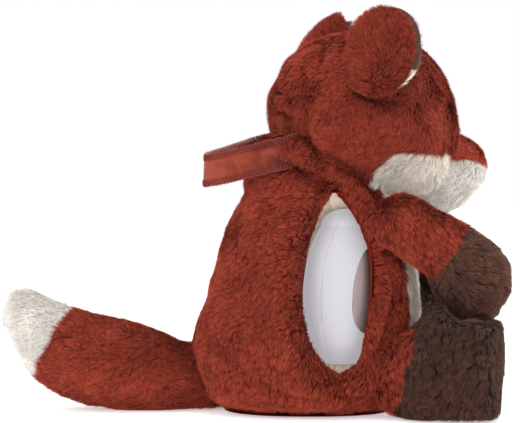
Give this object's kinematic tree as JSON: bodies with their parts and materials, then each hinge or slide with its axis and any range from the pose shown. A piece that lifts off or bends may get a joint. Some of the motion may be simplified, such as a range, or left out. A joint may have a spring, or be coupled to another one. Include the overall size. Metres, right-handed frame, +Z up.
{
  "type": "plush fox",
  "caption": "Seated rust-red plush fox with jointed head, ears, arms, legs and tail, a hanging strap and a flank pouch that holds a removable sound module.",
  "frame": {"origin": "point on the floor under the seat, on the body's centre line", "axes": "-Y the way the body faces, +Z up, -X the fox's right side"},
  "size_m": [0.195, 0.3666, 0.2892],
  "materials": {
    "rust_plush": "short rust-red plush pile",
    "cream_plush": "short cream plush pile",
    "white_plush": "short off-white plush pile",
    "brown_plush": "short brown plush pile",
    "dark_brown_plush": "short dark brown plush pile",
    "stuffing": "polyester fibre stuffing",
    "pouch_fabric": "thin knitted lining",
    "velvet_ribbon": "rust velvet ribbon with overlocked edges",
    "nose_and_eyes": "black satin-stitched pads",
    "white_plastic": "fine matte, off-white",
    "grey_panel": "satin, warm grey",
    "circuit_board": "green board",
    "steel": "plated",
    "battery_wrap": "printed-free sleeve",
    "speaker_cone": "pressed paper"
  },
  "bodies": {
    "torso": {"torso_cover": "rust_plush", "belly_panel": "cream_plush", "seat_panel": "rust_plush", "torso_fill": "stuffing", "pouch_lining": "pouch_fabric", "pouch_flap_rear": "rust_plush", "pouch_flap_front": "rust_plush"},
    "neck": {"neck_cover": "rust_plush"},
    "head": {"head_cover": "rust_plush", "cheek_right": "cream_plush", "cheek_left": "cream_plush", "muzzle_cover": "rust_plush", "muzzle_chin": "white_plush", "head_fill": "stuffing", "muzzle_fill": "stuffing", "nose": "nose_and_eyes", "eye_right": "nose_and_eyes", "eye_left": "nose_and_eyes"},
    "ear_right": {"ear_back_right": "rust_plush", "ear_inner_right": "brown_plush", "ear_base_right": "cream_plush"},
    "arm_right": {"arm_cover_right": "rust_plush", "paw_cover_right": "brown_plush", "arm_fill_right": "stuffing"},
    "leg_right": {"leg_cover_right": "rust_plush", "boot_cover_right": "dark_brown_plush", "boot_sole_right": "dark_brown_plush", "leg_fill_right": "stuffing"},
    "ear_left": {"ear_back_left": "rust_plush", "ear_inner_left": "brown_plush", "ear_base_left": "cream_plush"},
    "arm_left": {"arm_cover_left": "rust_plush", "paw_cover_left": "brown_plush", "arm_fill_left": "stuffing"},
    "leg_left": {"leg_cover_left": "rust_plush", "boot_cover_left": "dark_brown_plush", "boot_sole_left": "dark_brown_plush", "leg_fill_left": "stuffing"},
    "tail": {"tail_cover": "rust_plush", "tail_tip": "white_plush", "tail_fill": "stuffing"},
    "strap": {"strap_loop": "velvet_ribbon"},
    "button": {"power_button": "white_plastic"},
    "module": {"module_back_shell": "white_plastic", "module_front_shell": "white_plastic", "module_front_panel": "grey_panel", "module_battery_door": "white_plastic", "door_screw": "steel", "speaker": "speaker_cone", "circuit_board": "circuit_board", "battery_a": "battery_wrap", "battery_b": "battery_wrap", "battery_c": "battery_wrap", "battery_contact_lower": "steel", "battery_contact_upper": "steel", "shell_screw_a": "steel", "shell_screw_b": "steel", "shell_screw_c": "steel", "shell_screw_d": "steel"}
  },
  "joints": [
    {"name": "head_turn", "type": "hinge", "parent": "torso", "child": "neck", "pos_m": [0, -0.011, 0.163], "axis": [0, 0, 1], "range_deg": [-30, 10], "stiffness_Nm_per_rad": 0.8},
    {"name": "head_nod", "type": "hinge", "parent": "neck", "child": "head", "pos_m": [0, -0.011, 0.163], "axis": [-0.9397, -0.342, 0], "range_deg": [0, 12], "stiffness_Nm_per_rad": 3},
    {"name": "ear_flop_right", "type": "hinge", "parent": "head", "child": "ear_right", "pos_m": [-0.05871, -0.05031, 0.22319], "axis": [-0.3746, -0.9272, 0], "range_deg": [0, 12], "stiffness_Nm_per_rad": 0.1},
    {"name": "ear_flop_left", "type": "hinge", "parent": "head", "child": "ear_left", "pos_m": [0.06271, -0.01531, 0.22319], "axis": [-0.866, -0.5, 0], "range_deg": [0, 10], "stiffness_Nm_per_rad": 0.1},
    {"name": "arm_swing_right", "type": "hinge", "parent": "torso", "child": "arm_right", "pos_m": [-0.046, -0.068, 0.137], "axis": [-0.4983, 0, -0.867], "range_deg": [0, 55], "stiffness_Nm_per_rad": 0.5},
    {"name": "arm_swing_left", "type": "hinge", "parent": "torso", "child": "arm_left", "pos_m": [0.053, -0.067, 0.127], "axis": [-0.4983, 0, 0.867], "range_deg": [0, 55], "stiffness_Nm_per_rad": 0.5},
    {"name": "leg_splay_right", "type": "hinge", "parent": "torso", "child": "leg_right", "pos_m": [-0.05, -0.075, 0.036], "axis": [0, 0, -1], "range_deg": [0, 20], "stiffness_Nm_per_rad": 0.8},
    {"name": "leg_splay_left", "type": "hinge", "parent": "torso", "child": "leg_left", "pos_m": [0.05, -0.075, 0.036], "axis": [0, 0, 1], "range_deg": [0, 20], "stiffness_Nm_per_rad": 0.8},
    {"name": "tail_swing", "type": "hinge", "parent": "torso", "child": "tail", "pos_m": [0, 0.066, 0.025], "axis": [0, 0, 1], "range_deg": [-12, 12], "stiffness_Nm_per_rad": 0.5},
    {"name": "strap_flop", "type": "hinge", "parent": "head", "child": "strap", "pos_m": [-0.01094, 0.01907, 0.188], "axis": [0.9397, 0.342, 0], "range_deg": [-12, 30], "stiffness_Nm_per_rad": 0.05},
    {"name": "module_slide", "type": "slide", "parent": "torso", "child": "module", "axis": [-0.9397, 0.342, 0], "range_m": [0, 0.118], "deforming": ["pouch_flap_rear", "pouch_flap_front"]},
    {"name": "power_button_press", "type": "slide", "parent": "module", "child": "button", "axis": [0.1887, -0.982, 0], "range_m": [0, 0.001], "stiffness_N_per_m": 300}
  ]
}
